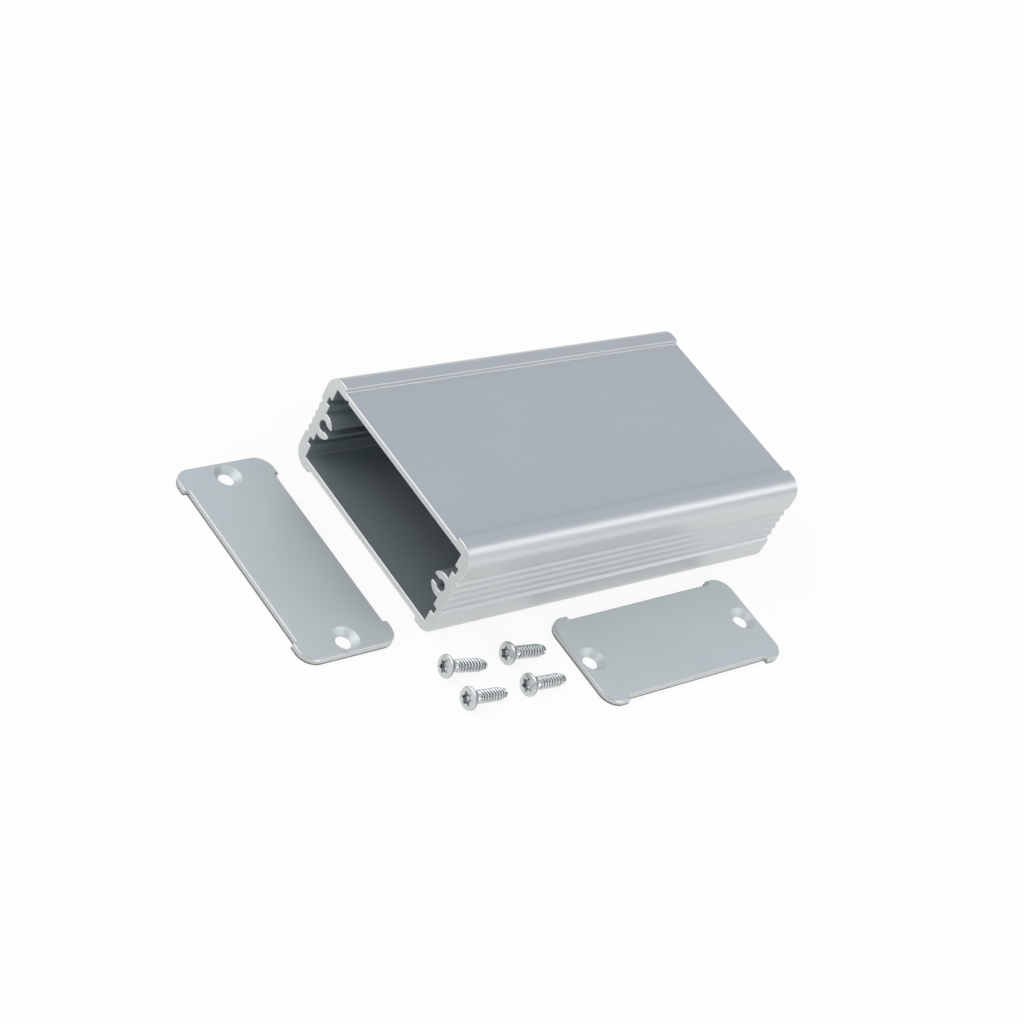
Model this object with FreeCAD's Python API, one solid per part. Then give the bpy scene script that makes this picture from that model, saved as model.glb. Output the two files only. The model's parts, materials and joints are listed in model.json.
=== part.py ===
import FreeCAD, Part
import math
import os

from FreeCAD import Vector

# Extruded aluminium enclosure, taken apart and laid out on a flat surface.
# The one-piece case lies on its two foot strips, with one end plate beyond its
# open end, the other end plate in front of it, and the four screws between them.
# Millimetres. +X runs along the case, +Y across it and +Z up. The origin is on
# the surface that everything lies on, under the middle of the case.

# Case: overall size and walls
case_length = 100.0
case_width = 55.5
case_height = 25.0
side_wall = 3.25
panel_thickness = 1.5
inner_corner_radius = 0.3

# Case: the corner strips that stand proud of the roof and the floor
strip_height = 1.0
strip_width = 5.75
strip_edge_round = 0.3
corner_radius = 4.0

# Case: the ribbed band along each side
rib_count = 4
rib_pitch = 2.1
rib_depth = 0.35
rib_setback = 0.25
rib_band_edge_round = 0.3

# Case: the two screw channels, at mid height, open towards the inside
channel_bore = 2.6
channel_wall = 1.7
channel_slot = 1.7
channel_tip_round = 0.35
channel_inset = 0.75

# Case: the guide grooves for circuit boards, above and below each channel
guide_offset = 5.9
guide_width = 1.7
guide_depth = 1.2
guide_mouth_round = 0.15

# Case: the small groove that marks one side of the roof on the inside
index_offset = 20.5
index_radius = 0.45

# Screws: raised countersunk head with a six-lobe recess, and a slotted tip
head_diameter = 5.05
head_rim = 0.3
head_dome = 0.45
head_cone_angle = 90.0
neck_diameter = 2.4
neck_length = 0.5
thread_diameter = 2.9
screw_length = 10.9
tip_diameter = 1.8
tip_taper = 2.0
tip_round = 0.2
tip_slot_width = 0.65
tip_slot_depth = 1.5
recess_across_lobes = 3.1
recess_across_flutes = 2.25
recess_lobe_radius = 0.26
recess_depth = 1.4

# End plates: the outline of the case, with two countersunk holes
plate_thickness = 1.6
plate_outline_gap = 0.2
plate_edge_bevel = 0.2
hole_clearance = 0.3
countersink_clearance = 0.65

# Layout: how far apart the pieces lie
left_plate_gap = 7.9
left_plate_yaw = 0.8
right_plate_gap = 3.2
right_plate_shift = 8.2
right_plate_yaw = 0.4
screw_gap = 6.0
screw_column_pitch = 16.4
screw_row_gap = 9.4
screw_row_pitch = 8.9

# Each screw as it was put down: column, row, offset along X and Y, heading, roll
screw_places = [
    (0, 0, -0.2, 0.3, -5.8, 75.0),
    (1, 0, 0.0, -0.3, -2.5, -12.0),
    (0, 1, -0.3, 0.3, -0.5, 95.0),
    (1, 1, -0.5, -0.2, 0.2, 8.0),
]

# Sizes that follow from the ones above
half_width = case_width / 2
half_height = case_height / 2
panel_level = half_height - strip_height
cavity_half_width = half_width - side_wall
cavity_half_height = panel_level - panel_thickness
channel_y = cavity_half_width - channel_inset
channel_outer = channel_bore / 2 + channel_wall
countersink_diameter = head_diameter + 2 * countersink_clearance
plate_hole = thread_diameter + 2 * hole_clearance
plate_half_length = half_width - plate_outline_gap
plate_half_depth = half_height - plate_outline_gap


def corner(u, v, radius=0.0):
    """A corner of an outline, rounded by an arc of this radius."""
    return {"reach_in": (u, v), "reach_out": (u, v), "radius": radius}


def arc(start, middle, end):
    """A stretch of an outline that is an arc through three points."""
    return {"reach_in": start, "middle": middle, "reach_out": end}


def mirrored(items, flip_u, flip_v):
    """The same stretch of outline mirrored, and turned round if one axis flips."""
    def flip(point):
        return (-point[0] if flip_u else point[0], -point[1] if flip_v else point[1])

    copies = []
    for item in items:
        copy = dict(item)
        for key in ("reach_in", "middle", "reach_out"):
            if key in item:
                copy[key] = flip(item[key])
        if flip_u != flip_v:
            copy["reach_in"], copy["reach_out"] = copy["reach_out"], copy["reach_in"]
        copies.append(copy)
    return copies if flip_u == flip_v else copies[::-1]


def outline_wire(items, to_space):
    """Closed wire through corners and arcs; to_space places a point (u, v)."""
    pieces = []
    for index, item in enumerate(items):
        if "middle" in item:
            pieces.append([to_space(*item[key]) for key in ("reach_in", "middle", "reach_out")])
            continue
        here = to_space(*item["reach_in"])
        if item["radius"] == 0:
            pieces.append([here])
            continue
        back = (to_space(*items[index - 1]["reach_out"]) - here).normalize()
        ahead = (to_space(*items[(index + 1) % len(items)]["reach_in"]) - here).normalize()
        half_angle = back.getAngle(ahead) / 2
        reach = item["radius"] / math.tan(half_angle)
        depth = item["radius"] / math.sin(half_angle) - item["radius"]
        middle = here + (back + ahead).normalize() * depth
        pieces.append([here + back * reach, middle, here + ahead * reach])

    edges = []
    for index, piece in enumerate(pieces):
        start = pieces[index - 1][-1]
        if start.distanceToPoint(piece[0]) > 1e-6:
            edges.append(Part.LineSegment(start, piece[0]).toShape())
        if len(piece) == 3:
            edges.append(Part.Arc(*piece).toShape())
    return Part.Wire(edges)


def section_point(y, z):
    """A point of the case's section, at its left end; z counts from mid height."""
    return Vector(-case_length / 2, y, half_height + z)


def strip_corner(half_u, half_v, level):
    """The corner strip of the outline, from the recessed panel round to the side."""
    inner_edge = half_u - strip_width
    return [
        corner(inner_edge, level, strip_edge_round),
        corner(inner_edge, half_v, strip_edge_round),
        corner(half_u, half_v, corner_radius),
    ]


def rib_band():
    """The ribs of the right-hand side, from the top down.

    They are a wave of equal arcs: a zigzag whose corners are rounded until
    nothing of its flanks is left straight.
    """
    slope = 2 * math.atan(2 * rib_depth / rib_pitch)
    radius = rib_pitch / (4 * math.sin(slope))
    crest_to_valley = rib_pitch / 2 * math.tan(slope)
    middle_y = half_width - rib_setback - rib_depth / 2
    crest_y = middle_y + crest_to_valley / 2
    valley_y = middle_y - crest_to_valley / 2
    last_valley = rib_count * rib_pitch / 2
    band_edge = last_valley + (half_width - valley_y) / math.tan(slope)

    band = [corner(half_width, band_edge, rib_band_edge_round)]
    for step in range(2 * rib_count + 1):
        z = last_valley - step * rib_pitch / 2
        band.append(corner(valley_y if step % 2 == 0 else crest_y, z, radius))
    band.append(corner(half_width, -band_edge, rib_band_edge_round))
    return band


def case_outline():
    """The outer outline of the case, clockwise from the roof panel."""
    upper_right = strip_corner(half_width, half_height, panel_level)
    right = upper_right + rib_band() + mirrored(upper_right, False, True)
    return right + mirrored(right, True, False)


def guide_groove(z):
    """A board guide groove in the right-hand wall, centred at this height."""
    bottom = cavity_half_width + guide_depth
    return [
        corner(cavity_half_width, z + guide_width / 2, guide_mouth_round),
        corner(bottom, z + guide_width / 2),
        corner(bottom, z - guide_width / 2),
        corner(cavity_half_width, z - guide_width / 2, guide_mouth_round),
    ]


def screw_channel():
    """The screw channel on the right-hand wall, from its upper root to its lower.

    Two arms with round tips curl round the bore and leave a slot open to the
    inside of the case.
    """
    bore = channel_bore / 2
    slot = channel_slot / 2
    tip = channel_tip_round
    root_z = math.sqrt(channel_outer ** 2 - channel_inset ** 2)
    bore_mouth = channel_y - math.sqrt(bore ** 2 - slot ** 2)

    # The tip's arc touches the arm's outer circle inside and the slot's flat above
    tip_z = slot + tip
    tip_y = channel_y - math.sqrt((channel_outer - tip) ** 2 - tip_z ** 2)
    touch = channel_outer / (channel_outer - tip)
    outer_touch = (channel_y + (tip_y - channel_y) * touch, tip_z * touch)
    tip_angle = (math.atan2(tip_z, tip_y - channel_y) + 1.5 * math.pi) / 2
    tip_middle = (tip_y + tip * math.cos(tip_angle), tip_z + tip * math.sin(tip_angle))

    upper_arm = [
        arc((cavity_half_width, root_z), (channel_y, channel_outer), outer_touch),
        arc(outer_touch, tip_middle, (tip_y, slot)),
    ]
    bore_wall = arc((bore_mouth, slot), (channel_y + bore, 0.0), (bore_mouth, -slot))
    return upper_arm + [bore_wall] + mirrored(upper_arm, False, True)


def cavity_outline():
    """The outline of the cavity, with its channels, guide grooves and index groove."""
    right = [corner(cavity_half_width, cavity_half_height, inner_corner_radius)]
    right += guide_groove(guide_offset) + screw_channel() + guide_groove(-guide_offset)
    right += [corner(cavity_half_width, -cavity_half_height, inner_corner_radius)]
    index_groove = arc(
        (index_offset - index_radius, cavity_half_height),
        (index_offset, cavity_half_height + index_radius),
        (index_offset + index_radius, cavity_half_height),
    )
    return [index_groove] + right + mirrored(right, True, False)


def make_case():
    """The case: its section, extruded over its whole length and sawn square."""
    along = Vector(case_length, 0, 0)
    outside = Part.Face(outline_wire(case_outline(), section_point)).extrude(along)
    inside = Part.Face(outline_wire(cavity_outline(), section_point)).extrude(along)
    return outside.cut(inside)


def make_end_plate():
    """An end plate lying face up, with its long axis along X, centred on the origin."""
    corner_strip = strip_corner(plate_half_length, plate_half_depth, plate_half_depth - strip_height)
    right = corner_strip + mirrored(corner_strip, False, True)
    outline = right + mirrored(right, True, False)
    wire = outline_wire(outline, lambda u, v: Vector(u, v, 0))
    plate = Part.Face(wire).extrude(Vector(0, 0, plate_thickness))

    rims = [edge for edge in plate.Edges if edge.BoundBox.ZLength < plate_thickness / 2]
    plate = plate.makeChamfer(plate_edge_bevel, rims)

    countersink_depth = (countersink_diameter - plate_hole) / 2
    for side in (-1, 1):
        foot = Vector(side * channel_y, 0, 0)
        hole = Part.makeCylinder(plate_hole / 2, plate_thickness, foot)
        cone_foot = foot + Vector(0, 0, plate_thickness - countersink_depth)
        cone = Part.makeCone(plate_hole / 2, countersink_diameter / 2, countersink_depth, cone_foot)
        plate = plate.cut(hole).cut(cone)
    return plate


def six_lobe_outline():
    """The six-lobe recess: lobe and flute arcs that run into each other."""
    lobe_centre = recess_across_lobes / 2 - recess_lobe_radius
    flute_depth = recess_across_flutes / 2
    across = lobe_centre * math.cos(math.pi / 6)
    flute_radius = (
        recess_lobe_radius ** 2 - lobe_centre ** 2 - flute_depth ** 2 + 2 * across * flute_depth
    ) / (2 * (flute_depth - across - recess_lobe_radius))
    flute_centre = flute_depth + flute_radius

    # Where a lobe's arc meets the next flute's, on the line between their centres
    share = recess_lobe_radius / (recess_lobe_radius + flute_radius)
    meet_x = lobe_centre + share * (flute_centre * math.cos(math.pi / 6) - lobe_centre)
    meet_y = share * flute_centre * math.sin(math.pi / 6)
    meet_radius = math.hypot(meet_x, meet_y)
    meet_angle = math.atan2(meet_y, meet_x)

    def polar(radius, angle):
        return (radius * math.cos(angle), radius * math.sin(angle))

    items = []
    for lobe in range(6):
        angle = lobe * math.pi / 3
        first = polar(meet_radius, angle - meet_angle)
        last = polar(meet_radius, angle + meet_angle)
        following = polar(meet_radius, angle + math.pi / 3 - meet_angle)
        items.append(arc(first, polar(recess_across_lobes / 2, angle), last))
        items.append(arc(last, polar(flute_depth, angle + math.pi / 6), following))
    return items


def make_screw():
    """A screw along X: the plane of its rim's front edge is x = 0, its tip is at +X."""
    head = head_diameter / 2
    neck = neck_diameter / 2
    thread = thread_diameter / 2
    tip = tip_diameter / 2
    cone_length = (head - neck) / math.tan(math.radians(head_cone_angle / 2))
    thread_start = head_rim + cone_length + neck_length
    taper_start = screw_length - tip_taper
    dome_radius = (head ** 2 + head_dome ** 2) / (2 * head_dome)
    dome_middle = math.asin(head / dome_radius) / 2

    def point(x, radius):
        return Vector(x, 0, radius)

    dome_centre_x = dome_radius - head_dome
    dome = Part.Arc(
        point(-head_dome, 0),
        point(dome_centre_x - dome_radius * math.cos(dome_middle), dome_radius * math.sin(dome_middle)),
        point(0, head),
    )
    corners = [
        point(0, head),
        point(head_rim, head),
        point(head_rim + cone_length, neck),
        point(thread_start, neck),
        point(thread_start + thread - neck, thread),
        point(taper_start, thread),
        point(screw_length - tip_round, tip),
        point(screw_length, tip - tip_round),
        point(screw_length, 0),
        point(-head_dome, 0),
    ]
    edges = [dome.toShape()]
    for start, end in zip(corners, corners[1:]):
        edges.append(Part.LineSegment(start, end).toShape())
    body = Part.Face(Part.Wire(edges)).revolve(Vector(0, 0, 0), Vector(1, 0, 0), 360)

    recess_wire = outline_wire(six_lobe_outline(), lambda u, v: Vector(-head_dome, u, v))
    recess = Part.Face(recess_wire).extrude(Vector(recess_depth, 0, 0))
    slot = Part.makeBox(
        2 * tip_slot_depth,
        thread_diameter,
        tip_slot_width,
        Vector(screw_length - tip_slot_depth, -thread, -tip_slot_width / 2),
    )
    return body.cut(recess).cut(slot)


def lay_screw(screw, x, y, heading, roll):
    """The screw lying at its rest: on its head's rim and on the end of its thread."""
    head = head_diameter / 2
    tilt = math.atan2(head - thread_diameter / 2, screw_length - tip_taper - head_rim)
    height = head * math.cos(tilt) + head_rim * math.sin(tilt)
    laid = screw.copy()
    laid.rotate(Vector(0, 0, 0), Vector(1, 0, 0), roll)
    laid.rotate(Vector(0, 0, 0), Vector(0, 1, 0), math.degrees(tilt))
    laid.rotate(Vector(0, 0, 0), Vector(0, 0, 1), heading)
    laid.translate(Vector(x, y, height))
    return laid


def lay_plate(plate, x, y, heading):
    """The plate lying with its countersinks up, its long axis at this heading."""
    laid = plate.copy()
    laid.rotate(Vector(0, 0, 0), Vector(0, 0, 1), heading)
    laid.translate(Vector(x, y, 0))
    return laid


def build():
    """Every sub-part where it lies, by name."""
    parts = {"extruded_case": make_case()}

    plate = make_end_plate()
    left_plate_x = -(case_length / 2 + left_plate_gap + plate_half_depth)
    right_plate_y = -(half_width + right_plate_gap + plate_half_depth)
    parts["end_plate_left"] = lay_plate(plate, left_plate_x, 0.0, 90 + left_plate_yaw)
    parts["end_plate_right"] = lay_plate(plate, right_plate_shift, right_plate_y, right_plate_yaw)

    screw = make_screw()
    second_column = right_plate_shift - plate_half_length - screw_gap - screw_length
    for number, (column, row, dx, dy, heading, roll) in enumerate(screw_places, start=1):
        x = second_column + (column - 1) * screw_column_pitch + dx
        y = -(half_width + screw_row_gap + row * screw_row_pitch) + dy
        parts["screw_%d" % number] = lay_screw(screw, x, y, heading, roll)
    return parts


os.makedirs("parts", exist_ok=True)
for name, shape in build().items():
    shape.exportStep("parts/%s.step" % name)
    box = shape.BoundBox
    print("%-16s volume %9.2f  x %7.2f %7.2f  y %7.2f %7.2f  z %6.2f %6.2f  valid %s solids %d" % (
        name, shape.Volume, box.XMin, box.XMax, box.YMin, box.YMax, box.ZMin, box.ZMax,
        shape.isValid(), len(shape.Solids)))
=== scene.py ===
import json
import math

import bmesh
import bpy
from mathutils import Matrix, Vector
from mathutils.geometry import tessellate_polygon

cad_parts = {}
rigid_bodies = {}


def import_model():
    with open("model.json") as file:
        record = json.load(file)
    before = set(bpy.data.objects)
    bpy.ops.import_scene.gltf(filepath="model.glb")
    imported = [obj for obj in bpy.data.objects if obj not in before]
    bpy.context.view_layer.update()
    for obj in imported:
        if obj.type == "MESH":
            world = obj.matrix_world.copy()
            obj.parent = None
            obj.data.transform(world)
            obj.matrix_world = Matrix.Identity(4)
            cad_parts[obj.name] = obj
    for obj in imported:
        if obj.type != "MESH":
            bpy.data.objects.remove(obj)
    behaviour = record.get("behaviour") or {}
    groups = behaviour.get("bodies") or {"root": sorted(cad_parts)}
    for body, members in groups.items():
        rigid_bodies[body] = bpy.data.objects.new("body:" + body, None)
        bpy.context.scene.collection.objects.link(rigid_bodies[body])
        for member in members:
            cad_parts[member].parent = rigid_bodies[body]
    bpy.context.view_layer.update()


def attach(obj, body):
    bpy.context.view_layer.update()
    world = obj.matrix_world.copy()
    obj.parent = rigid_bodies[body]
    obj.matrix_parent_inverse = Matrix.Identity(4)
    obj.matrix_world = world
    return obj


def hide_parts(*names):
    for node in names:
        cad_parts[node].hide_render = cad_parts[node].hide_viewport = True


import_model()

# Extruded aluminium enclosure, taken apart and laid out on a white surface.
# The sizes are in millimetres and the angles in degrees. The finished meshes are in
# metres, in the frame of the CAD source: +X along the case, +Y across it, +Z up.
MM = 0.001

# Case: overall size and walls, as in the CAD source
case_length = 100.0
case_width = 55.5
case_height = 25.0
side_wall = 3.25
panel_thickness = 1.5
inner_corner_radius = 0.3

# Case: the corner strips that stand proud of the roof and the floor
strip_height = 1.0
strip_width = 5.75
strip_edge_round = 0.3
corner_radius = 4.0

# Case: the ribbed band along each side
rib_count = 4
rib_pitch = 2.1
rib_depth = 0.35
rib_setback = 0.25
rib_band_edge_round = 0.3

# Case: the two screw channels, at mid height, open towards the inside
channel_bore = 2.6
channel_wall = 1.7
channel_slot = 1.7
channel_tip_round = 0.35
channel_inset = 0.75

# Case: the guide grooves for circuit boards, above and below each channel
guide_offset = 5.9
guide_width = 1.7
guide_depth = 1.2
guide_mouth_round = 0.15

# Case: the small groove that marks one side of the roof on the inside
index_offset = 20.5
index_radius = 0.45

# Screws: raised countersunk head with a six-lobe recess, and a slotted tip
head_diameter = 5.05
head_rim = 0.3
head_dome = 0.45
neck_diameter = 2.4
neck_length = 0.5
thread_diameter = 2.9
screw_length = 10.9
tip_diameter = 1.8
tip_taper = 2.0
tip_round = 0.2
tip_slot_width = 0.65
tip_slot_depth = 1.5
recess_across_lobes = 3.1
recess_across_flutes = 2.25
recess_lobe_radius = 0.26
recess_depth = 1.4

# End plates: the outline of the case, with two countersunk holes
plate_thickness = 1.6
plate_outline_gap = 0.2
hole_clearance = 0.3
countersink_clearance = 0.65

# Layout: how far apart the pieces lie
left_plate_gap = 7.9
left_plate_yaw = 0.8
right_plate_gap = 3.2
right_plate_shift = 8.2
right_plate_yaw = 0.4
screw_gap = 6.0
screw_column_pitch = 16.4
screw_row_gap = 9.4
screw_row_pitch = 8.9

# Each screw as it was put down: column, row, offset along X and Y, heading, roll
screw_places = [
    (0, 0, -0.2, 0.3, -5.8, 75.0),
    (1, 0, 0.0, -0.3, -2.5, -12.0),
    (0, 1, -0.3, 0.3, -0.5, 95.0),
    (1, 1, -0.5, -0.2, 0.2, 8.0),
]

# Detail of the case that only the visual model has
sawn_edge_bevel = 0.12
ledge_tilt = 48.0
ledge_valley_round = 0.5

# Detail of the plates that only the visual model has
plate_edge_round = 0.5
plate_foot_round = 0.15
least_edge_round = 0.02
# The torn band at the foot of a cut side also carries a painted shadow.
plate_torn_and_shaded_band = 0.5
torn_and_shaded_band_wander = 0.1
countersink_lip = 0.06
countersink_lip_reach = 0.024
countersink_lip_tilt = 75.0

# Detail of the screws that only the visual model has
thread_core_diameter = 2.1
thread_pitch = 0.82
thread_crest = 0.18
thread_flank = 0.22
thread_root_height = 0.18
tip_core_share = 0.85
screw_edge_round = 0.08
rim_front = 0.01
rim_back_bevel = screw_edge_round / 3
rim_back_drop = 1.2 * screw_edge_round
neck_fillet = 0.2
neck_fillet_rise = 0.06
thread_lead = 0.15
thread_lead_end = 0.01
tip_bevel_length = 0.03
tip_bevel_depth = 0.14

# The cutters of the recess and of the tip slot, and their overshoot
recess_cutter_reach = 0.3
recess_mouth_depth = 0.07
recess_mouth_share = 1.12
recess_foot_height = 0.25
recess_wall_share = 0.98
recess_foot_share = 0.6
slot_cutter_reach = 1.0

# How far behind the dome a face counts as recess wall, and how far out from the
# neck the back of the head gets painted shade
recess_wall_start = 0.02
painted_shade_head_clearance = 0.05

# Fineness of the meshes: degrees in each step of an arc, and numbers of steps
case_arc_step = 5.0
cavity_arc_step = 10.0
plate_arc_step = 6.0
lobe_arc_step = 20.0
flute_arc_step = 14.0
plate_round_steps = 6
plate_burnished_steps = 5
hole_sides = 72
screw_sides = 72
dome_rings = 8
rim_angles = (30.0, 60.0, 90.0)
rings_per_pitch = 14
sharp_edge_angle = 35.0
weld_distance = 0.0002

# This much over a whole number of steps adds none, so that arcs which differ
# only by rounding get the same number of runs
step_tolerance = 0.05

# At a sharp turn of an outline, a point moves by at most the offset over this
least_joint_cosine = 0.5

# A straight stretch shorter than this is left out, and points that agree to this
# many decimals are one vertex
shortest_run = 1e-6
vertex_decimals = 5

# Sizes that follow from the ones above
half_width = case_width / 2
half_height = case_height / 2
panel_level = half_height - strip_height
widest_foot_round = 0.9 * strip_height
cavity_half_width = half_width - side_wall
cavity_half_height = panel_level - panel_thickness
channel_y = cavity_half_width - channel_inset
channel_outer = channel_bore / 2 + channel_wall
plate_hole = thread_diameter + 2 * hole_clearance
countersink = head_diameter + 2 * countersink_clearance
plate_half_length = half_width - plate_outline_gap
plate_half_depth = half_height - plate_outline_gap
cone_end = head_rim + (head_diameter - neck_diameter) / 2
thread_start = cone_end + neck_length

# The materials of a face, numbered as in its piece's list of materials
# The cavity's material is the skin's metal, darkened as painted shade.
skin, sawn_end, cavity, deburred_and_highlight = range(4)
sheet, cut_side = range(2)
# The screws' second material is painted shade, dark zinc in the thread roots and behind the head.
bright, painted_shade, recess_wall = range(3)


# Outlines. A closed outline is a list of runs (start, start normal, end, end
# normal), going clockwise, with the normals pointing out of it.


def corner(u, v, radius=0.0):
    """A corner of an outline, rounded by an arc of this radius."""
    return {"reach_in": (u, v), "reach_out": (u, v), "radius": radius}


def arc(start, middle, end):
    """A stretch of an outline that is an arc through three points."""
    return {"reach_in": start, "middle": middle, "reach_out": end}


def mirrored(items, flip_u, flip_v):
    """The same stretch of outline mirrored, and turned round if one axis flips."""
    def flip(point):
        return (-point[0] if flip_u else point[0], -point[1] if flip_v else point[1])

    copies = []
    for item in items:
        copy = dict(item)
        for key in ("reach_in", "middle", "reach_out"):
            if key in item:
                copy[key] = flip(item[key])
        if flip_u != flip_v:
            copy["reach_in"], copy["reach_out"] = copy["reach_out"], copy["reach_in"]
        copies.append(copy)
    return copies if flip_u == flip_v else copies[::-1]


def circle_centre(start, middle, end):
    """Centre of the circle through three points."""
    ax, ay = middle - start
    bx, by = end - start
    twice_area = 2 * (ax * by - ay * bx)
    square_a = ax * ax + ay * ay
    square_b = bx * bx + by * by
    centre_x = (by * square_a - ay * square_b) / twice_area
    centre_y = (ax * square_b - bx * square_a) / twice_area
    return start + Vector((centre_x, centre_y))


def arc_runs(start, middle, end, step):
    """The runs of an arc through three points, at most about step degrees each."""
    centre = circle_centre(start, middle, end)
    clockwise = (middle - start).cross(end - middle) < 0
    first = math.atan2(start.y - centre.y, start.x - centre.x)
    last = math.atan2(end.y - centre.y, end.x - centre.x)
    sweep = (first - last if clockwise else last - first) % (2 * math.pi)
    count = max(2, math.ceil(math.degrees(sweep) / step - step_tolerance))
    radius = (start - centre).length
    runs = []
    for number in range(count):
        ends = []
        for reached in (number, number + 1):
            angle = first + (-sweep if clockwise else sweep) * reached / count
            outward = Vector((math.cos(angle), math.sin(angle)))
            point = centre + outward * radius
            if reached == 0:
                point = start
            if reached == count:
                point = end
            ends += [point, outward if clockwise else -outward]
        runs.append(tuple(ends))
    return runs


def outline_runs(items, step):
    """The runs of a closed clockwise outline of corners and arcs."""
    pieces = []
    for index, item in enumerate(items):
        if "middle" in item:
            pieces.append([Vector(item[key]) for key in ("reach_in", "middle", "reach_out")])
            continue
        here = Vector(item["reach_in"])
        if item["radius"] == 0:
            pieces.append([here])
            continue
        back = (Vector(items[index - 1]["reach_out"]) - here).normalized()
        ahead = (Vector(items[(index + 1) % len(items)]["reach_in"]) - here).normalized()
        half_angle = back.angle(ahead) / 2
        reach = item["radius"] / math.tan(half_angle)
        depth = item["radius"] / math.sin(half_angle) - item["radius"]
        middle = here + (back + ahead).normalized() * depth
        pieces.append([here + back * reach, middle, here + ahead * reach])

    runs = []
    for index, piece in enumerate(pieces):
        start = pieces[index - 1][-1]
        if (piece[0] - start).length > shortest_run:
            along = (piece[0] - start).normalized()
            normal = Vector((-along.y, along.x))
            runs.append((start, normal, piece[0], normal))
        if len(piece) == 3:
            runs += arc_runs(*piece, step)
    return runs


def circle_runs(centre, radius, count):
    """The runs of a clockwise circle."""
    runs = []
    for number in range(count):
        ends = []
        for reached in (number, number + 1):
            angle = -2 * math.pi * reached / count
            outward = Vector((math.cos(angle), math.sin(angle)))
            ends += [centre + outward * radius, outward]
        runs.append(tuple(ends))
    return runs


def joint_offset(before, after):
    """How a point moves out, per unit of offset, between runs with these normals."""
    bisector = (before + after).normalized()
    return bisector / max(least_joint_cosine, bisector.dot(after))


def ring_points(runs, offset, outside=True):
    """The points of an outline moved into the material by this offset."""
    sign = 1.0 if outside else -1.0
    points = []
    for index, run in enumerate(runs):
        joint = joint_offset(runs[index - 1][3], run[1])
        points.append(run[0] - joint * offset * sign)
    return points


def strip_corner(half_u, half_v, level, inset=0.0):
    """A corner strip, all its sides moved into the material by the inset."""
    inner_edge = half_u - strip_width + inset
    foot_round = min(strip_edge_round + inset, widest_foot_round)
    edge_round = max(strip_edge_round - inset, least_edge_round)
    return [
        corner(inner_edge, level - inset, foot_round),
        corner(inner_edge, half_v - inset, edge_round),
        corner(half_u - inset, half_v - inset, corner_radius - inset),
    ]


def rib_band():
    """The ribs of one side as a wave of arcs, from the upper ledge to the lower one.

    The lower ledge is steeper than the upper one.
    """
    slope = 2 * math.atan(2 * rib_depth / rib_pitch)
    radius = rib_pitch / (4 * math.sin(slope))
    crest_to_valley = rib_pitch / 2 * math.tan(slope)
    middle_y = half_width - rib_setback - rib_depth / 2
    crest_y = middle_y + crest_to_valley / 2
    valley_y = middle_y - crest_to_valley / 2
    last_valley = rib_count * rib_pitch / 2
    ledge = half_width - valley_y
    band_edge = last_valley + ledge / math.tan(slope)
    band = [corner(half_width, band_edge, rib_band_edge_round)]
    for step in range(2 * rib_count):
        z = last_valley - step * rib_pitch / 2
        band.append(corner(valley_y if step % 2 == 0 else crest_y, z, radius))
    ledge_middle = (last_valley + band_edge) / 2
    ledge_reach = ledge / math.tan(math.radians(ledge_tilt)) / 2
    band.append(corner(valley_y, ledge_reach - ledge_middle, ledge_valley_round))
    band.append(corner(half_width, -ledge_reach - ledge_middle, rib_band_edge_round))
    return band


def case_outline():
    """The outside of the extrusion's section."""
    upper_right = strip_corner(half_width, half_height, panel_level)
    right = upper_right + rib_band() + mirrored(upper_right, False, True)
    return right + mirrored(right, True, False)


def plate_outline(inset):
    """The outline of an end plate, moved into the material by the inset."""
    level = plate_half_depth - strip_height
    strip = strip_corner(plate_half_length, plate_half_depth, level, inset)
    right = strip + mirrored(strip, False, True)
    return right + mirrored(right, True, False)


def guide_groove(z):
    """A square groove in the right wall of the cavity, at this height."""
    bottom = cavity_half_width + guide_depth
    return [
        corner(cavity_half_width, z + guide_width / 2, guide_mouth_round),
        corner(bottom, z + guide_width / 2),
        corner(bottom, z - guide_width / 2),
        corner(cavity_half_width, z - guide_width / 2, guide_mouth_round),
    ]


def screw_channel():
    """The channel on the right wall: two arms with round tips about an open bore."""
    bore = channel_bore / 2
    slot = channel_slot / 2
    tip = channel_tip_round
    root_z = math.sqrt(channel_outer ** 2 - channel_inset ** 2)
    bore_mouth = channel_y - math.sqrt(bore ** 2 - slot ** 2)
    tip_z = slot + tip
    tip_y = channel_y - math.sqrt((channel_outer - tip) ** 2 - tip_z ** 2)
    touch = channel_outer / (channel_outer - tip)
    outer_touch = (channel_y + (tip_y - channel_y) * touch, tip_z * touch)
    tip_angle = (math.atan2(tip_z, tip_y - channel_y) + 1.5 * math.pi) / 2
    tip_middle = (tip_y + tip * math.cos(tip_angle), tip_z + tip * math.sin(tip_angle))
    upper_arm = [
        arc((cavity_half_width, root_z), (channel_y, channel_outer), outer_touch),
        arc(outer_touch, tip_middle, (tip_y, slot)),
    ]
    bore_wall = arc((bore_mouth, slot), (channel_y + bore, 0.0), (bore_mouth, -slot))
    return upper_arm + [bore_wall] + mirrored(upper_arm, False, True)


def cavity_outline():
    """The inside of the extrusion's section."""
    right = [corner(cavity_half_width, cavity_half_height, inner_corner_radius)]
    right += guide_groove(guide_offset) + screw_channel() + guide_groove(-guide_offset)
    right += [corner(cavity_half_width, -cavity_half_height, inner_corner_radius)]
    index_groove = arc(
        (index_offset - index_radius, cavity_half_height),
        (index_offset, cavity_half_height + index_radius),
        (index_offset + index_radius, cavity_half_height),
    )
    return [index_groove] + right + mirrored(right, True, False)


# Meshes of the case and of the plates


def turned(place, u, v, w):
    """A direction in outline space as a direction in the space of place."""
    return Vector(place(u, v, w)) - Vector(place(0, 0, 0))


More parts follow.
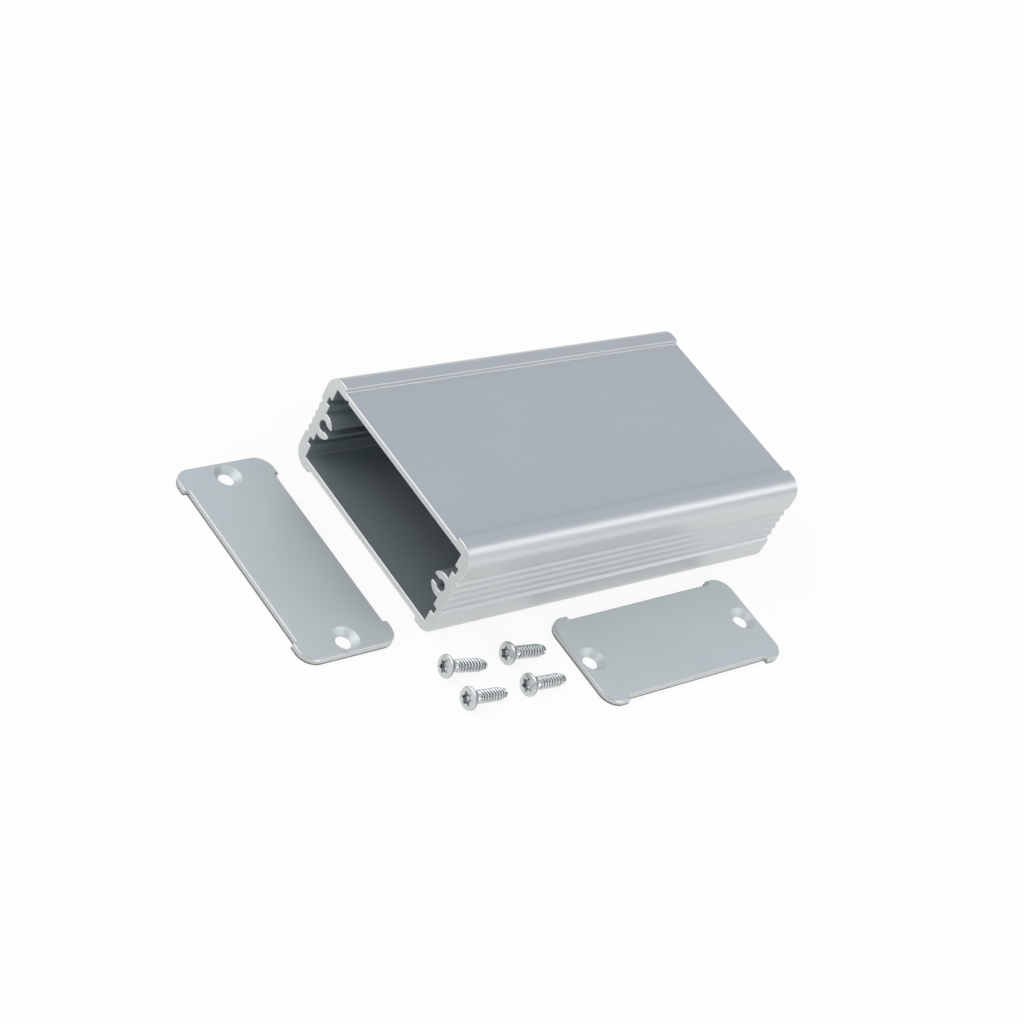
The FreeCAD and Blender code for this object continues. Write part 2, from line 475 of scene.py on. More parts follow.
class Shell:
    """Collects faces with their exact normals, and makes a mesh of them.

    The function place turns a point of an outline, and a height, into space.
    """

    def __init__(self):
        self.points = {}
        self.faces = []
        self.normals = []
        self.materials = []

    def vertex(self, point):
        """The number of the vertex here, the same for faces that meet."""
        key = tuple(round(x, vertex_decimals) for x in point)
        return self.points.setdefault(key, len(self.points))

    def face(self, corners, normals, material):
        """A face from its corners, turned so that it faces along its normals."""
        indices = [self.vertex(point) for point in corners]
        kept = [i for i in range(len(indices)) if indices[i] != indices[i - 1]]
        if len(kept) < 3:
            return
        first, second, third = (Vector(corners[i]) for i in kept[:3])
        outward = sum((Vector(normals[i]) for i in kept), Vector((0, 0, 0)))
        if (second - first).cross(third - second).dot(outward) < 0:
            kept.reverse()
        self.faces.append([indices[i] for i in kept])
        self.normals.append([Vector(normals[i]).normalized() for i in kept])
        self.materials.append(material)

    def strip(self, runs, place, first, last, outside, material):
        """Faces between two rings of an outline.

        A ring is (offset into the material, height, tilt of the normal). The
        material is a number, or a function that gives it for a run.
        """
        sign = 1.0 if outside else -1.0
        joints = [joint_offset(runs[index - 1][3], run[1]) for index, run in enumerate(runs)]
        for index, (start, start_normal, end, end_normal) in enumerate(runs):
            following = joints[(index + 1) % len(runs)]
            corners = []
            normals = []
            for ring in (first, last):
                offset, height, tilt = ring
                along = math.cos(math.radians(tilt)) * sign
                up = math.sin(math.radians(tilt))
                ends = [
                    (start - joints[index] * offset * sign, start_normal),
                    (end - following * offset * sign, end_normal),
                ]
                if ring == last:
                    ends.reverse()
                for point, normal in ends:
                    corners.append(place(point.x, point.y, height))
                    normals.append(turned(place, normal.x * along, normal.y * along, up))
            self.face(corners, normals, material(start, end) if callable(material) else material)

    def between(self, place, first, last, material):
        """Faces between two outlines of like runs, each as (runs, height, tilt)."""
        for low, high in zip(first[0], last[0]):
            corners = []
            normals = []
            for run, ring, order in ((low, first, 1), (high, last, -1)):
                along = math.cos(math.radians(ring[2]))
                up = math.sin(math.radians(ring[2]))
                for point, normal in ((run[0], run[1]), (run[2], run[3]))[::order]:
                    corners.append(place(point.x, point.y, ring[1]))
                    normals.append(turned(place, normal.x * along, normal.y * along, up))
            self.face(corners, normals, material)

    def cap(self, loops, place, height, up, material):
        """A flat face bounded by loops of points, the first one outermost."""
        flat = [[Vector((point.x, point.y, 0.0)) for point in loop] for loop in loops]
        joined = [point for loop in loops for point in loop]
        normal = turned(place, 0.0, 0.0, up)
        for triangle in tessellate_polygon(flat):
            corners = [place(joined[i].x, joined[i].y, height) for i in triangle]
            self.face(corners, [normal] * 3, material)

    def build(self, name, matrix=Matrix.Identity(4)):
        """The mesh, moved from millimetres to where the matrix puts it."""
        mesh = bpy.data.meshes.new(name)
        places = [matrix @ (Vector(point) * MM) for point in self.points]
        mesh.from_pydata(places, [], self.faces)
        mesh.polygons.foreach_set("material_index", self.materials)
        mesh.shade_smooth()
        rotation = matrix.to_3x3()
        normals = [rotation @ normal for face in self.normals for normal in face]
        mesh.normals_split_custom_set(normals)
        mesh.update()
        return mesh


def cavity_skin(start, end):
    """The material of a run of the cavity: the skin's in its four corner fillets, and the one with
    painted shade elsewhere.
    """
    middle = (start + end) / 2
    fillet_u = cavity_half_width - inner_corner_radius
    fillet_v = cavity_half_height - inner_corner_radius
    return skin if abs(middle.x) > fillet_u and abs(middle.y) > fillet_v else cavity


def case_mesh():
    """The case, with a bevel round the outside and the inside of both sawn ends."""
    outer = outline_runs(case_outline(), case_arc_step)
    inner = outline_runs(cavity_outline(), cavity_arc_step)
    end = case_length / 2
    bevel = sawn_edge_bevel
    shell = Shell()

    def place(u, v, w):
        return (w, u, v + half_height)

    for runs, outside, wall in ((outer, True, skin), (inner, False, cavity_skin)):
        near = (0.0, -end + bevel, 0)
        far = (0.0, end - bevel, 0)
        near_bevel = ((bevel, -end, -45), (0.0, -end + bevel, -45))
        far_bevel = ((0.0, end - bevel, 45), (bevel, end, 45))
        # The bevelled rims are bare brushed metal, lightened as a painted highlight.
        shell.strip(runs, place, *near_bevel, outside, deburred_and_highlight)
        shell.strip(runs, place, near, far, outside, wall)
        shell.strip(runs, place, *far_bevel, outside, deburred_and_highlight)
    loops = [ring_points(outer, bevel), ring_points(inner, bevel, False)]
    shell.cap(loops, place, -end, -1.0, sawn_end)
    shell.cap(loops, place, end, 1.0, sawn_end)
    return shell.build("extruded_case_visual")


def plate_rounding(radius, level, upward):
    """Rings (runs, height, tilt) round an edge of a plate, from its side to its face."""
    rings = []
    for step in range(plate_round_steps + 1):
        angle = math.pi / 2 * step / plate_round_steps
        inset = radius * (1 - math.cos(angle))
        height = level + upward * radius * (math.sin(angle) - 1)
        runs = outline_runs(plate_outline(inset), plate_arc_step)
        rings.append((runs, height, upward * math.degrees(angle)))
    return rings


def countersunk_hole(shell, place, x):
    """Adds a hole with its countersink and lip. Returns its upper and lower loops."""
    hole = circle_runs(Vector((x, 0.0)), plate_hole / 2, hole_sides)
    depth = (countersink - plate_hole) / 2
    cone_foot = (0.0, plate_thickness - depth, 45)
    cone_top = (depth - countersink_lip, plate_thickness - countersink_lip, 45)
    lip_top = (depth + countersink_lip_reach, plate_thickness, countersink_lip_tilt)
    shell.strip(hole, place, (0.0, 0.0, 0), (0.0, plate_thickness - depth, 0), False, sheet)
    shell.strip(hole, place, cone_foot, cone_top, False, sheet)
    shell.strip(hole, place, cone_top, lip_top, False, sheet)
    return ring_points(hole, lip_top[0], False), ring_points(hole, 0.0, False)


def plate_mesh(name, x, y, heading):
    """An end plate with its upper edge rolled over and two countersunk holes.

    Its side has the material of the cut side, up to most of the rolled edge.
    """
    shell = Shell()

    def place(u, v, w):
        return (u, v, w)

    lower = plate_rounding(plate_foot_round, 0.0, -1)
    upper = plate_rounding(plate_edge_round, plate_thickness, 1)
    for first, last in zip(lower, lower[1:]):
        shell.between(place, first, last, cut_side)
    for step, (first, last) in enumerate(zip(upper, upper[1:])):
        shell.between(place, first, last, cut_side if step < plate_burnished_steps else sheet)
    shell.between(place, lower[0], upper[0], cut_side)

    top_loops = [[run[0] for run in upper[-1][0]]]
    bottom_loops = [[run[0] for run in lower[-1][0]]]
    for hole_x in (-channel_y, channel_y):
        top_loop, bottom_loop = countersunk_hole(shell, place, hole_x)
        top_loops.append(top_loop)
        bottom_loops.append(bottom_loop)
    shell.cap(top_loops, place, plate_thickness, 1.0, sheet)
    shell.cap(bottom_loops, place, 0.0, -1.0, sheet)
    heading_matrix = Matrix.Rotation(math.radians(heading), 4, "Z")
    return shell.build(name, Matrix.Translation((x * MM, y * MM, 0)) @ heading_matrix)


# Meshes of the screws. A screw is made along X, in millimetres, with x = 0 at the
# front of its head's rim, and then put in its place.


def taper_share(x):
    """How far x is into the tapered end: 0 before it, 1 at the tip."""
    return max(0.0, (x - screw_length + tip_taper) / tip_taper)


def core_radius(x):
    """Radius between the thread's ridges at x."""
    core = thread_core_diameter / 2
    return core + (tip_diameter / 2 * tip_core_share - core) * taper_share(x)


def thread_radius(x, phase):
    """Radius of the threaded shank at x, at this phase of the turn from 0 to 1."""
    core = core_radius(x)
    crest = thread_diameter / 2
    crest += (tip_diameter / 2 - crest) * taper_share(x)
    run_in = min(1.0, (x - thread_start) / thread_pitch)
    from_crest = abs(phase - 0.5) * thread_pitch
    flank = 1 - max(0.0, from_crest - thread_crest / 2) / thread_flank
    return core + (crest - core) * max(0.0, flank) * run_in


def dome_front(radius):
    """Where the head's dome is along the screw, at this radius."""
    dome_radius = (head_diameter ** 2 / 4 + head_dome ** 2) / (2 * head_dome)
    return dome_radius - head_dome - math.sqrt(dome_radius ** 2 - radius ** 2)


def head_rings():
    """Rings (x, radius) of the head and the neck, up to the thread."""
    head = head_diameter / 2
    neck = neck_diameter / 2
    edge = screw_edge_round
    rings = []
    for number in range(1, dome_rings + 1):
        radius = (head - edge) * number / dome_rings
        rings.append((dome_front(radius), radius))
    for degrees in rim_angles:
        angle = math.radians(degrees)
        x = edge * (1 - math.cos(angle)) + rim_front
        rings.append((x, head - edge + edge * math.sin(angle)))
    return rings + [
        (head_rim - edge, head),
        (head_rim - rim_back_bevel, head - rim_back_bevel),
        (head_rim + edge, head - rim_back_drop),
        (cone_end - neck_fillet, neck + neck_fillet),
        (cone_end, neck + neck_fillet_rise),
        (cone_end + neck_fillet, neck),
        (thread_start - thread_lead, neck),
        (thread_start - thread_lead_end, thread_core_diameter / 2),
    ]


def screw_rings():
    """Rings (x, radii) of the screw from its head to its tip."""
    tip = tip_diameter / 2
    rings = [(x, [radius] * screw_sides) for x, radius in head_rings()]
    threaded = screw_length - screw_edge_round - thread_start
    steps = round(threaded / thread_pitch * rings_per_pitch)
    for step in range(steps + 1):
        x = thread_start + threaded * step / steps
        phases = [(x / thread_pitch - side / screw_sides) % 1.0 for side in range(screw_sides)]
        rings.append((x, [thread_radius(x, phase) for phase in phases]))
    rings.append((screw_length - tip_bevel_length, [tip - tip_bevel_depth] * screw_sides))
    rings.append((screw_length, [tip - tip_round] * screw_sides))
    return rings


def finished_mesh(draft, name):
    """A new mesh from what was drawn in the draft, with its faces turned outwards."""
    bmesh.ops.recalc_face_normals(draft, faces=draft.faces)
    mesh = bpy.data.meshes.new(name)
    draft.to_mesh(mesh)
    draft.free()
    return mesh


def screw_blank():
    """A screw with a right-hand thread, before its recess and its slot are cut."""
    draft = bmesh.new()
    rings = screw_rings()
    grid = []
    for x, radii in rings:
        row = []
        for side, radius in enumerate(radii):
            angle = 2 * math.pi * side / screw_sides
            point = (x, radius * math.cos(angle), radius * math.sin(angle))
            row.append(draft.verts.new(point))
        grid.append(row)
    for row, following, lower, upper in zip(grid, grid[1:], rings, rings[1:]):
        root = core_radius(lower[0]) + thread_root_height
        for side in range(screw_sides):
            after = (side + 1) % screw_sides
            face = draft.faces.new((row[side], row[after], following[after], following[side]))
            radius = (lower[1][side] + lower[1][after] + upper[1][side] + upper[1][after]) / 4
            # Faces low in the thread's roots, past its first turn, get painted shade.
            if lower[0] >= thread_start + thread_pitch and radius < root:
                face.material_index = painted_shade
    front = draft.verts.new((-head_dome, 0, 0))
    back = draft.verts.new((screw_length, 0, 0))
    for side in range(screw_sides):
        after = (side + 1) % screw_sides
        draft.faces.new((front, grid[0][after], grid[0][side]))
        draft.faces.new((back, grid[-1][side], grid[-1][after]))
    return finished_mesh(draft, "screw_blank")


def prism_mesh(levels):
    """A closed solid through rings of (x, y, z) points, one list per level."""
    draft = bmesh.new()
    rows = [[draft.verts.new(point) for point in level] for level in levels]
    count = len(rows[0])
    for row, following in zip(rows, rows[1:]):
        for side in range(count):
            after = (side + 1) % count
            draft.faces.new((row[side], row[after], following[after], following[side]))
    draft.faces.new(rows[0])
    draft.faces.new(rows[-1][::-1])
    return finished_mesh(draft, "cutter")


def six_lobe_points():
    """Points of the six-lobe recess, from its lobe arcs and flute arcs."""
    lobe_centre = recess_across_lobes / 2 - recess_lobe_radius
    flute_depth = recess_across_flutes / 2
    across = lobe_centre * math.cos(math.pi / 6)
    flute_radius = (
        recess_lobe_radius ** 2 - lobe_centre ** 2 - flute_depth ** 2 + 2 * across * flute_depth
    ) / (2 * (flute_depth - across - recess_lobe_radius))
    flute_centre = flute_depth + flute_radius
    share = recess_lobe_radius / (recess_lobe_radius + flute_radius)
    meet_x = lobe_centre + share * (flute_centre * math.cos(math.pi / 6) - lobe_centre)
    meet_y = share * flute_centre * math.sin(math.pi / 6)
    meet_radius = math.hypot(meet_x, meet_y)
    meet_angle = math.atan2(meet_y, meet_x)

    def polar(radius, angle):
        return Vector((radius * math.cos(angle), radius * math.sin(angle)))

    points = []
    for lobe in range(6):
        angle = lobe * math.pi / 3
        first = polar(meet_radius, angle - meet_angle)
        crest = polar(recess_across_lobes / 2, angle)
        last = polar(meet_radius, angle + meet_angle)
        valley = polar(flute_depth, angle + math.pi / 6)
        following = polar(meet_radius, angle + math.pi / 3 - meet_angle)
        runs = arc_runs(first, crest, last, lobe_arc_step)
        runs += arc_runs(last, valley, following, flute_arc_step)
        points += [run[0] for run in runs]
    return points


def recess_cutter():
    """The recess as a solid: a flared mouth, nearly straight walls, a narrow foot."""
    outline = six_lobe_points()
    bottom = recess_depth - head_dome
    levels = []
    for x, share in (
        (-head_dome - recess_cutter_reach, recess_mouth_share),
        (-head_dome + recess_mouth_depth, 1.0),
        (bottom - recess_foot_height, recess_wall_share),
        (bottom, recess_foot_share),
    ):
        levels.append([(x, point.x * share, point.y * share) for point in outline])
    return prism_mesh(levels)


def slot_cutter():
    """The cutting slot across the tip as a solid."""
    half = tip_slot_width / 2
    reach = thread_diameter
    levels = []
    for x in (screw_length - tip_slot_depth, screw_length + slot_cutter_reach):
        levels.append([(x, -reach, -half), (x, reach, -half), (x, reach, half), (x, -reach, half)])
    return prism_mesh(levels)


def cut_mesh(blank, cutters):
    """The blank with the cutters taken out of it, welded where they left slivers."""
    scene_objects = bpy.context.scene.collection.objects
    holder = bpy.data.objects.new("screw_being_cut", blank)
    scene_objects.link(holder)
    tools = []
    for cutter in cutters:
        tool = bpy.data.objects.new("cutter", cutter)
        scene_objects.link(tool)
        tools.append(tool)
        cut = holder.modifiers.new("cut", "BOOLEAN")
        cut.operation = "DIFFERENCE"
        cut.solver = "EXACT"
        cut.object = tool
    bpy.context.view_layer.update()
    graph = bpy.context.evaluated_depsgraph_get()
    mesh = bpy.data.meshes.new_from_object(holder.evaluated_get(graph))
    for thing in [holder] + tools:
        uncut = thing.data
        bpy.data.objects.remove(thing)
        bpy.data.meshes.remove(uncut)

    draft = bmesh.new()
    draft.from_mesh(mesh)
    bmesh.ops.remove_doubles(draft, verts=draft.verts, dist=weld_distance)
    bmesh.ops.dissolve_degenerate(draft, edges=draft.edges, dist=weld_distance)
    bmesh.ops.triangulate(draft, faces=draft.faces)
    draft.to_mesh(mesh)
    draft.free()
    return mesh


def screw_mesh(name, matrix):
    """A whole screw, with its materials marked, in its place."""
    mesh = cut_mesh(screw_blank(), (recess_cutter(), slot_cutter()))
    mesh.name = name
    recess_foot = recess_depth - head_dome - recess_foot_height
    painted_shade_radius = neck_diameter / 2 + painted_shade_head_clearance
    for polygon in mesh.polygons:
        x, y, z = polygon.center
        radius = math.hypot(y, z)
        in_recess = radius < recess_across_lobes / 2
        # The recess walls, short of the foot, get darker zinc as painted shade.
        if in_recess and dome_front(radius) + recess_wall_start < x < recess_foot:
            polygon.material_index = recess_wall
        # The back of the head, out from the neck, gets painted shade.
        elif radius > painted_shade_radius and screw_edge_round / 2 < x < cone_end:
            polygon.material_index = painted_shade
    mesh.transform(matrix @ Matrix.Scale(MM, 4))
    mesh.shade_smooth()
    mesh.set_sharp_from_angle(angle=math.radians(sharp_edge_angle))
    return mesh


def screw_matrix(x, y, heading, roll):
    """Where a screw lies: on its head's rim and on the end of its thread."""
    head = head_diameter / 2
    tilt = math.atan2(head - thread_diameter / 2, screw_length - tip_taper - head_rim)
    height = head * math.cos(tilt) + head_rim * math.sin(tilt)
    headed = Matrix.Rotation(math.radians(heading), 4, "Z")
    tilted = Matrix.Rotation(tilt, 4, "Y")
    rolled = Matrix.Rotation(math.radians(roll), 4, "X")
    return Matrix.Translation((x * MM, y * MM, height * MM)) @ headed @ tilted @ rolled


# Materials. The noise is in object space, so its scales are per metre, and the
# heights of a bump are in millimetres.


def new_material(name, color, metallic, roughness):
    """A metal with these values, and its node tree to vary them in."""
    material = bpy.data.materials.new(name)
    material.use_nodes = True
    shader = material.node_tree.nodes["Principled BSDF"]
    shader.inputs["Base Color"].default_value = (*color, 1.0)
    shader.inputs["Metallic"].default_value = metallic
    shader.inputs["Roughness"].default_value = roughness
    return material, material.node_tree


def stretched_noise(tree, scale, detail=2.0, roughness=0.5):
    """Noise in object space, with its own scale along each axis."""
    coordinates = tree.nodes.new("ShaderNodeTexCoord")
    mapping = tree.nodes.new("ShaderNodeMapping")
    mapping.inputs["Scale"].default_value = scale
    noise = tree.nodes.new("ShaderNodeTexNoise")
    noise.inputs["Scale"].default_value = 1.0
    noise.inputs["Detail"].default_value = detail
    noise.inputs["Roughness"].default_value = roughness
    tree.links.new(coordinates.outputs["Object"], mapping.inputs["Vector"])
    tree.links.new(mapping.outputs["Vector"], noise.inputs["Vector"])
    return noise.outputs["Fac"]


def spread(tree, value, low, high, start=0.3, end=0.7):
    """The value mapped from start..end to low..high."""
    node = tree.nodes.new("ShaderNodeMapRange")
    node.inputs["From Min"].default_value = start
    node.inputs["From Max"].default_value = end
    node.inputs["To Min"].default_value = low
    node.inputs["To Max"].default_value = high
    tree.links.new(value, node.inputs["Value"])
    return node.outputs["Result"]


def combine(tree, operation, first, second):
    """A sum, product or the like of two sockets, or of a socket and a number."""
    node = tree.nodes.new("ShaderNodeMath")
    node.operation = operation
    for socket, value in zip(node.inputs, (first, second)):
        if isinstance(value, float):
            socket.default_value = value
        else:
            tree.links.new(value, socket)
    return node.outputs[0]


def tint(tree, value, low_color, high_color):
    """A colour between two, as the value goes from 0.3 to 0.7."""
    ramp = tree.nodes.new("ShaderNodeValToRGB")
    ends = ramp.color_ramp.elements
    for end, position, color in ((ends[0], 0.3, low_color), (ends[1], 0.7, high_color)):
        end.position = position
        end.color = (*color, 1.0)
    tree.links.new(value, ramp.inputs["Fac"])
    return ramp.outputs["Color"]


def vary(tree, socket_name, value):
    """Drives a socket of the material's shader by this value."""
    tree.links.new(value, tree.nodes["Principled BSDF"].inputs[socket_name])


def bump(tree, value, height):
    """Raises the surface by up to this height, by value."""
    node = tree.nodes.new("ShaderNodeBump")
    node.inputs["Strength"].default_value = 1.0
    node.inputs["Distance"].default_value = height * MM
    tree.links.new(value, node.inputs["Height"])
    vary(tree, "Normal", node.outputs["Normal"])


def extruded_aluminium():
    """The skin of the extrusion: satin anodised, with faint drawing lines along X."""
    material, tree = new_material("extruded_aluminium", (0.56, 0.578, 0.585), 0.65, 0.37)
    lines = stretched_noise(tree, (10.0, 3600.0, 3600.0), 3.0, 0.6)
    clouds = stretched_noise(tree, (18.0, 40.0, 40.0), 3.0)
    vary(tree, "Base Color", tint(tree, clouds, (0.550, 0.568, 0.575), (0.566, 0.583, 0.588)))
    vary(tree, "Roughness", spread(tree, lines, 0.34, 0.40))
    bump(tree, lines, 0.0008)
    return material


def cavity_aluminium_painted_shade():
    """The inside of the extrusion: the same metal with plainer lines, painted darker and bluer as
    painted shade.
    """
    material, tree = new_material("cavity_aluminium_painted_shade", (0.44, 0.495, 0.511), 0.66, 0.36)
    lines = stretched_noise(tree, (8.0, 2400.0, 2400.0), 3.0, 0.6)
    vary(tree, "Base Color", tint(tree, lines, (0.43, 0.485, 0.503), (0.452, 0.505, 0.52)))
    vary(tree, "Roughness", spread(tree, lines, 0.33, 0.40))
    bump(tree, lines, 0.001)
    return material


def sawn_aluminium():
    """The sawn end faces: bare bright metal with fine marks of the blade."""
    material, tree = new_material("sawn_aluminium", (0.594, 0.614, 0.605), 0.6, 0.4)
    marks = stretched_noise(tree, (300.0, 260.0, 4200.0), 3.0, 0.6)
    patches = stretched_noise(tree, (100.0, 160.0, 240.0), 2.0)
    vary(tree, "Base Color", tint(tree, patches, (0.572, 0.593, 0.586), (0.616, 0.635, 0.624)))
    vary(tree, "Roughness", spread(tree, marks, 0.36, 0.46))
    bump(tree, marks, 0.004)
    return material


def deburred_and_highlight_aluminium():
    """The brushed rims of the sawn ends: bare metal, lightened as a painted highlight."""
    material, tree = new_material("deburred_and_highlight_aluminium", (0.66, 0.672, 0.668), 0.7, 0.38)
    marks = stretched_noise(tree, (900.0, 900.0, 900.0), 3.0, 0.6)
    vary(tree, "Base Color", tint(tree, marks, (0.62, 0.635, 0.63), (0.70, 0.71, 0.705)))
    vary(tree, "Roughness", spread(tree, marks, 0.32, 0.44))
    return material


def plate_aluminium():
    """Matt anodised sheet: a fine even grain with faint clouding."""
    material, tree = new_material("plate_aluminium", (0.594, 0.623, 0.621), 0.45, 0.5)
    grain = stretched_noise(tree, (9000.0, 9000.0, 9000.0), 3.0, 0.7)
    clouds = stretched_noise(tree, (60.0, 60.0, 60.0), 3.0)
    vary(tree, "Base Color", tint(tree, clouds, (0.583, 0.613, 0.613), (0.604, 0.633, 0.629)))
    vary(tree, "Roughness", spread(tree, grain, 0.46, 0.54))
    bump(tree, grain, 0.003)
    return material


def sheared_aluminium():
    """The plates' cut sides: burnished above, torn at the foot, and painted dark there as painted
    shadow along the floor.
    """
    material, tree = new_material("sheared_aluminium", (0.5, 0.515, 0.51), 0.6, 0.42)
    marks = stretched_noise(tree, (3200.0, 3200.0, 200.0), 3.0, 0.6)
    coordinates = tree.nodes.new("ShaderNodeTexCoord")
    split = tree.nodes.new("ShaderNodeSeparateXYZ")
    tree.links.new(coordinates.outputs["Object"], split.inputs["Vector"])
    wander = spread(tree, marks, -torn_and_shaded_band_wander * MM, torn_and_shaded_band_wander * MM)
    height = combine(tree, "ADD", split.outputs["Z"], wander)
    band = plate_torn_and_shaded_band * MM
    burnished = spread(tree, height, 0.0, 1.0, 0.5 * band, 1.5 * band)
    # The dark colour at the foot is painted shadow; the rougher torn band there is real.
    vary(tree, "Base Color", tint(tree, burnished, (0.16, 0.165, 0.165), (0.52, 0.535, 0.53)))
    vary(tree, "Roughness", spread(tree, burnished, 0.6, 0.4, 0.0, 1.0))
    bump(tree, marks, 0.004)
    return material


def zinc_plate():
    """Bright zinc plate: a slightly uneven sheen, a little duller in patches."""
    material, tree = new_material("bright_zinc", (0.6, 0.63, 0.63), 0.9, 0.3)
    grain = stretched_noise(tree, (6500.0, 6500.0, 6500.0), 2.0, 0.6)
    patches = stretched_noise(tree, (900.0, 900.0, 900.0), 2.0)
    vary(tree, "Base Color", tint(tree, patches, (0.55, 0.58, 0.58), (0.65, 0.675, 0.675)))
    vary(tree, "Roughness", spread(tree, patches, 0.26, 0.36))
    bump(tree, grain, 0.003)
    return material


def recess_zinc_painted_shade():
    """The pressed walls of the recess: smooth, and darker as painted shade in the recess."""
    material, tree = new_material("recess_zinc_painted_shade", (0.42, 0.44, 0.44), 1.0, 0.2)
    patches = stretched_noise(tree, (1500.0, 1500.0, 1500.0), 2.0)
    vary(tree, "Base Color", tint(tree, patches, (0.36, 0.38, 0.38), (0.48, 0.50, 0.50)))
    vary(tree, "Roughness", spread(tree, patches, 0.16, 0.26))
    return material


def painted_shade_zinc():
    """Painted shade: dark zinc in the roots of the rolled threads and on the back of the head."""
    material, tree = new_material("painted_shade_zinc", (0.2, 0.215, 0.215), 0.8, 0.45)
    patches = stretched_noise(tree, (1800.0, 1800.0, 1800.0), 2.0)
    vary(tree, "Base Color", tint(tree, patches, (0.13, 0.145, 0.145), (0.26, 0.28, 0.28)))
    vary(tree, "Roughness", spread(tree, patches, 0.38, 0.5))
    return material


# Pieces


def make_object(name, mesh, materials, node):
    """A visible piece that stands for one node of the CAD source."""
    piece = bpy.data.objects.new(name, mesh)
    bpy.context.scene.collection.objects.link(piece)
    for material in materials:
        mesh.materials.append(material)
    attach(piece, "root")
    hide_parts(node)
    return piece


def build_case():
    """The case, in the materials skin, sawn end, cavity, and rim with its painted highlight."""
    materials = [extruded_aluminium(), sawn_aluminium(), cavity_aluminium_painted_shade(), deburred_and_highlight_aluminium()]
    make_object("extruded_case_visual", case_mesh(), materials, "extruded_case")


def build_plates():
    """One plate across the open end of the case, the other along its front side."""
    materials = [plate_aluminium(), sheared_aluminium()]
    left_x = -(case_length / 2 + left_plate_gap + plate_half_depth)
    right_y = -(half_width + right_plate_gap + plate_half_depth)
    left = plate_mesh("end_plate_left_visual", left_x, 0.0, 90 + left_plate_yaw)
    right = plate_mesh("end_plate_right_visual", right_plate_shift, right_y, right_plate_yaw)
    make_object("end_plate_left_visual", left, materials, "end_plate_left")
    make_object("end_plate_right_visual", right, materials, "end_plate_right")


def build_screws():
    """Four screws in two columns, between the plates."""
    materials = [zinc_plate(), painted_shade_zinc(), recess_zinc_painted_shade()]
    second_column = right_plate_shift - plate_half_length - screw_gap - screw_length
    for number, (column, row, dx, dy, heading, roll) in enumerate(screw_places, start=1):
        x = second_column + (column - 1) * screw_column_pitch + dx
        y = -(half_width + screw_row_gap + row * screw_row_pitch) + dy
        name = "screw_%d_visual" % number
        mesh = screw_mesh(name, screw_matrix(x, y, heading, roll))
        make_object(name, mesh, materials, "screw_%d" % number)


# Stage, light and camera, in metres


def floor_material():
    """White as seen and as mirrored, mixed with a matt surface that takes the shadows."""
    glow_share = 0.88
    material = bpy.data.materials.new("floor_white")
    material.use_nodes = True
    tree = material.node_tree
    tree.nodes.clear()
    diffuse = tree.nodes.new("ShaderNodeBsdfDiffuse")
    diffuse.inputs["Color"].default_value = (0.92, 0.91, 0.88, 1.0)
    glow = tree.nodes.new("ShaderNodeEmission")
    glow.inputs["Color"].default_value = (1.0, 1.0, 1.0, 1.0)
    glow.inputs["Strength"].default_value = 1.0
    path = tree.nodes.new("ShaderNodeLightPath")
    seen = combine(tree, "MAXIMUM", path.outputs["Is Camera Ray"], path.outputs["Is Glossy Ray"])
    share = combine(tree, "MULTIPLY", seen, glow_share)
    mix = tree.nodes.new("ShaderNodeMixShader")
    tree.links.new(share, mix.inputs["Fac"])
    tree.links.new(diffuse.outputs["BSDF"], mix.inputs[1])
    tree.links.new(glow.outputs["Emission"], mix.inputs[2])
    output = tree.nodes.new("ShaderNodeOutputMaterial")
    tree.links.new(mix.outputs["Shader"], output.inputs["Surface"])
    return material


def build_floor():
    """A large white floor under the pieces."""
    reach = 3.0
    corners = [(-reach, -reach, 0), (reach, -reach, 0), (reach, reach, 0), (-reach, reach, 0)]
    mesh = bpy.data.meshes.new("floor")
    mesh.from_pydata(corners, [], [(0, 1, 2, 3)])
    mesh.materials.append(floor_material())
    floor = bpy.data.objects.new("floor", mesh)
    bpy.context.scene.collection.objects.link(floor)


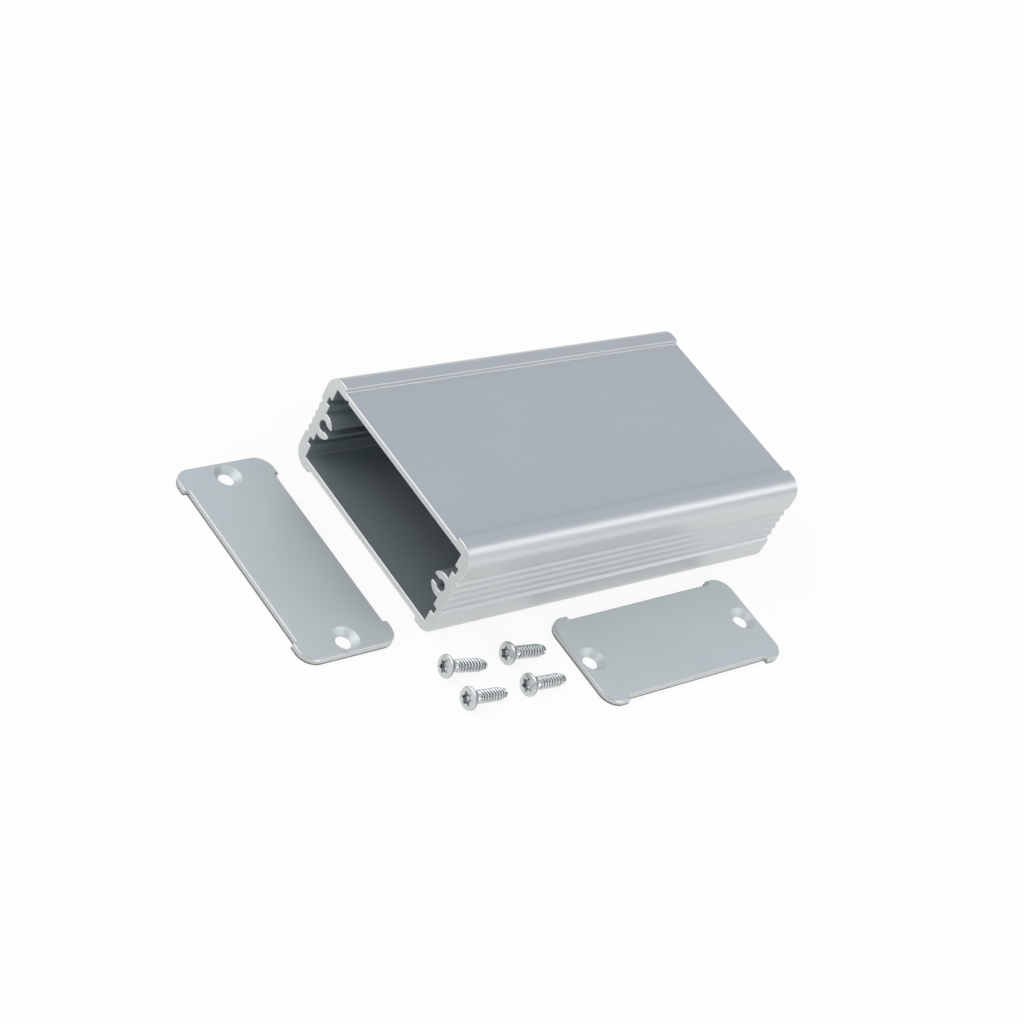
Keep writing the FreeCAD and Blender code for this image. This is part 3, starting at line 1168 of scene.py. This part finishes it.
def build_surroundings():
    """Pale grey surroundings near the horizon, blue-grey higher up."""
    world = bpy.data.worlds.new("studio")
    bpy.context.scene.world = world
    world.use_nodes = True
    tree = world.node_tree
    direction = tree.nodes.new("ShaderNodeTexCoord")
    split = tree.nodes.new("ShaderNodeSeparateXYZ")
    tree.links.new(direction.outputs["Generated"], split.inputs["Vector"])
    height = spread(tree, split.outputs["Z"], 0.0, 1.0, 0.1, 0.5)
    around = tint(tree, height, (0.575, 0.585, 0.595), (0.55, 0.60, 0.672))
    background = tree.nodes["Background"]
    tree.links.new(around, background.inputs["Color"])
    background.inputs["Strength"].default_value = 1.0


def softbox(name, direction, size, power):
    """A warm white lamp of this width and height, facing the frame's origin."""
    distance = 1.6
    lamp = bpy.data.lights.new(name, "AREA")
    lamp.color = (1.0, 0.975, 0.93)
    lamp.shape = "RECTANGLE"
    lamp.size, lamp.size_y = size
    lamp.energy = power
    box = bpy.data.objects.new(name, lamp)
    place = Vector(direction).normalized() * distance
    box.location = place
    box.rotation_euler = (-place).to_track_quat("-Z", "Y").to_euler()
    bpy.context.scene.collection.objects.link(box)


def build_lamps():
    """A narrow lamp for the highlight along the corner, a front fill, a large key."""
    softbox("right_softbox", (0.625, -0.37, 0.66), (0.34, 1.3), 3.5)
    softbox("front_fill", (0.1, -0.95, 0.26), (0.9, 0.8), 10.0)
    softbox("left_softbox", (-0.72, 0.5, 0.68), (1.9, 1.7), 15.5)


def build_camera():
    """The camera solved from the photograph: its place, its axes and its lens."""
    place = (-0.366745, -0.251142, 0.333057)
    right = Vector((0.741545, -0.543744, 0.393005))
    down = Vector((-0.148898, -0.704560, -0.693848))
    forward = Vector((0.654171, 0.456002, -0.603425))
    lens = bpy.data.cameras.new("camera")
    lens.sensor_width = 36.0
    lens.lens = 86.248
    lens.clip_start = 0.01
    lens.clip_end = 20.0
    camera = bpy.data.objects.new("camera", lens)
    axes = Matrix((right, -down, -forward)).transposed().to_4x4()
    camera.matrix_world = Matrix.Translation(place) @ axes
    bpy.context.scene.collection.objects.link(camera)
    bpy.context.scene.camera = camera


build_case()
build_plates()
build_screws()
build_floor()
build_surroundings()
build_lamps()
build_camera()
bpy.context.scene.view_settings.view_transform = "Standard"
